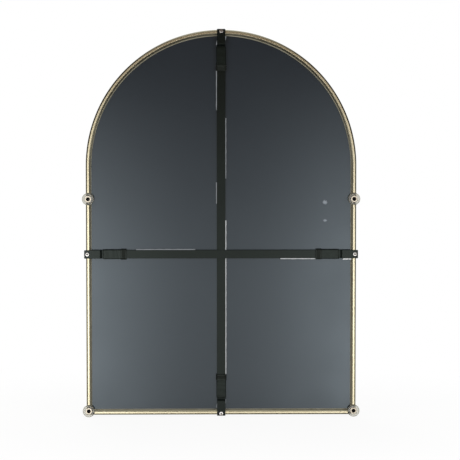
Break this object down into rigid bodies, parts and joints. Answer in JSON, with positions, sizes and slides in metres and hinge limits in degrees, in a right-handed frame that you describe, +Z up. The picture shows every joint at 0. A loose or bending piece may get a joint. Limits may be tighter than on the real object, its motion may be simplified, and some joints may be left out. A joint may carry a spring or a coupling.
{
  "type": "arched mirror",
  "caption": "Round-topped wall mirror in a slim gold metal frame, its painted back crossed by black safety straps screwed to the frame, with clear wall bumpers around socket eyelets.",
  "frame": {"origin": "midway between the two upper wall sockets, on the plane of their mouths", "axes": "+Z up, +Y out of the back towards the wall, +X to the right of someone looking into the mirror"},
  "size_m": [0.627, 0.03, 0.8767],
  "materials": {
    "frame_gold": "brushed and anodised to a pale brass colour",
    "key_alloy": "as extruded",
    "clear_glass": "polished float glass",
    "mirror_silver": "chemically deposited silver",
    "slate_paint": "gloss backing paint",
    "tan_tape": "closed-cell glazing tape",
    "black_rubber": "moulded",
    "black_steel": "satin black powder coat",
    "black_sleeve": "matt extruded sleeve",
    "black_nylon": "moulded nylon with a fine satin grain",
    "plated_steel": "bright zinc plate",
    "pale_foam": "die-cut polyethylene foam",
    "clear_vinyl": "moulded clear vinyl",
    "nickel_steel": "nickel-plated eyelet"
  },
  "bodies": {
    "root": {"frame_arch": "frame_gold", "frame_sill": "frame_gold", "corner_key_right": "key_alloy", "corner_key_left": "key_alloy", "mirror_glass": "clear_glass", "silvering": "mirror_silver", "back_paint": "slate_paint", "glazing_gasket": "tan_tape", "setting_blocks": "black_rubber", "side_blocks": "black_rubber", "strap_vertical": "black_steel", "strap_horizontal": "black_steel", "end_bracket_top": "black_steel", "end_bracket_bottom": "black_steel", "end_bracket_left": "black_steel", "end_bracket_right": "black_steel", "sleeve_top": "black_sleeve", "sleeve_bottom": "black_sleeve", "sleeve_left": "black_sleeve", "sleeve_right": "black_sleeve", "keeper_top": "black_nylon", "keeper_bottom": "black_nylon", "keeper_left": "black_nylon", "keeper_right": "black_nylon", "lap_rivets": "plated_steel", "bracket_screws": "plated_steel", "foam_strip_upper_1": "pale_foam", "foam_strip_upper_2": "pale_foam", "foam_strip_upper_3": "pale_foam", "foam_strip_lower": "pale_foam", "foam_strip_right": "pale_foam", "foam_strip_left": "pale_foam", "foam_pad_left": "pale_foam", "foam_pad_top": "pale_foam", "foam_pad_bottom": "pale_foam", "bumper_right_side": "clear_vinyl", "bumper_left_side": "clear_vinyl", "bumper_right_corner": "clear_vinyl", "bumper_left_corner": "clear_vinyl", "socket_eyelets": "nickel_steel"}
  },
  "joints": []
}
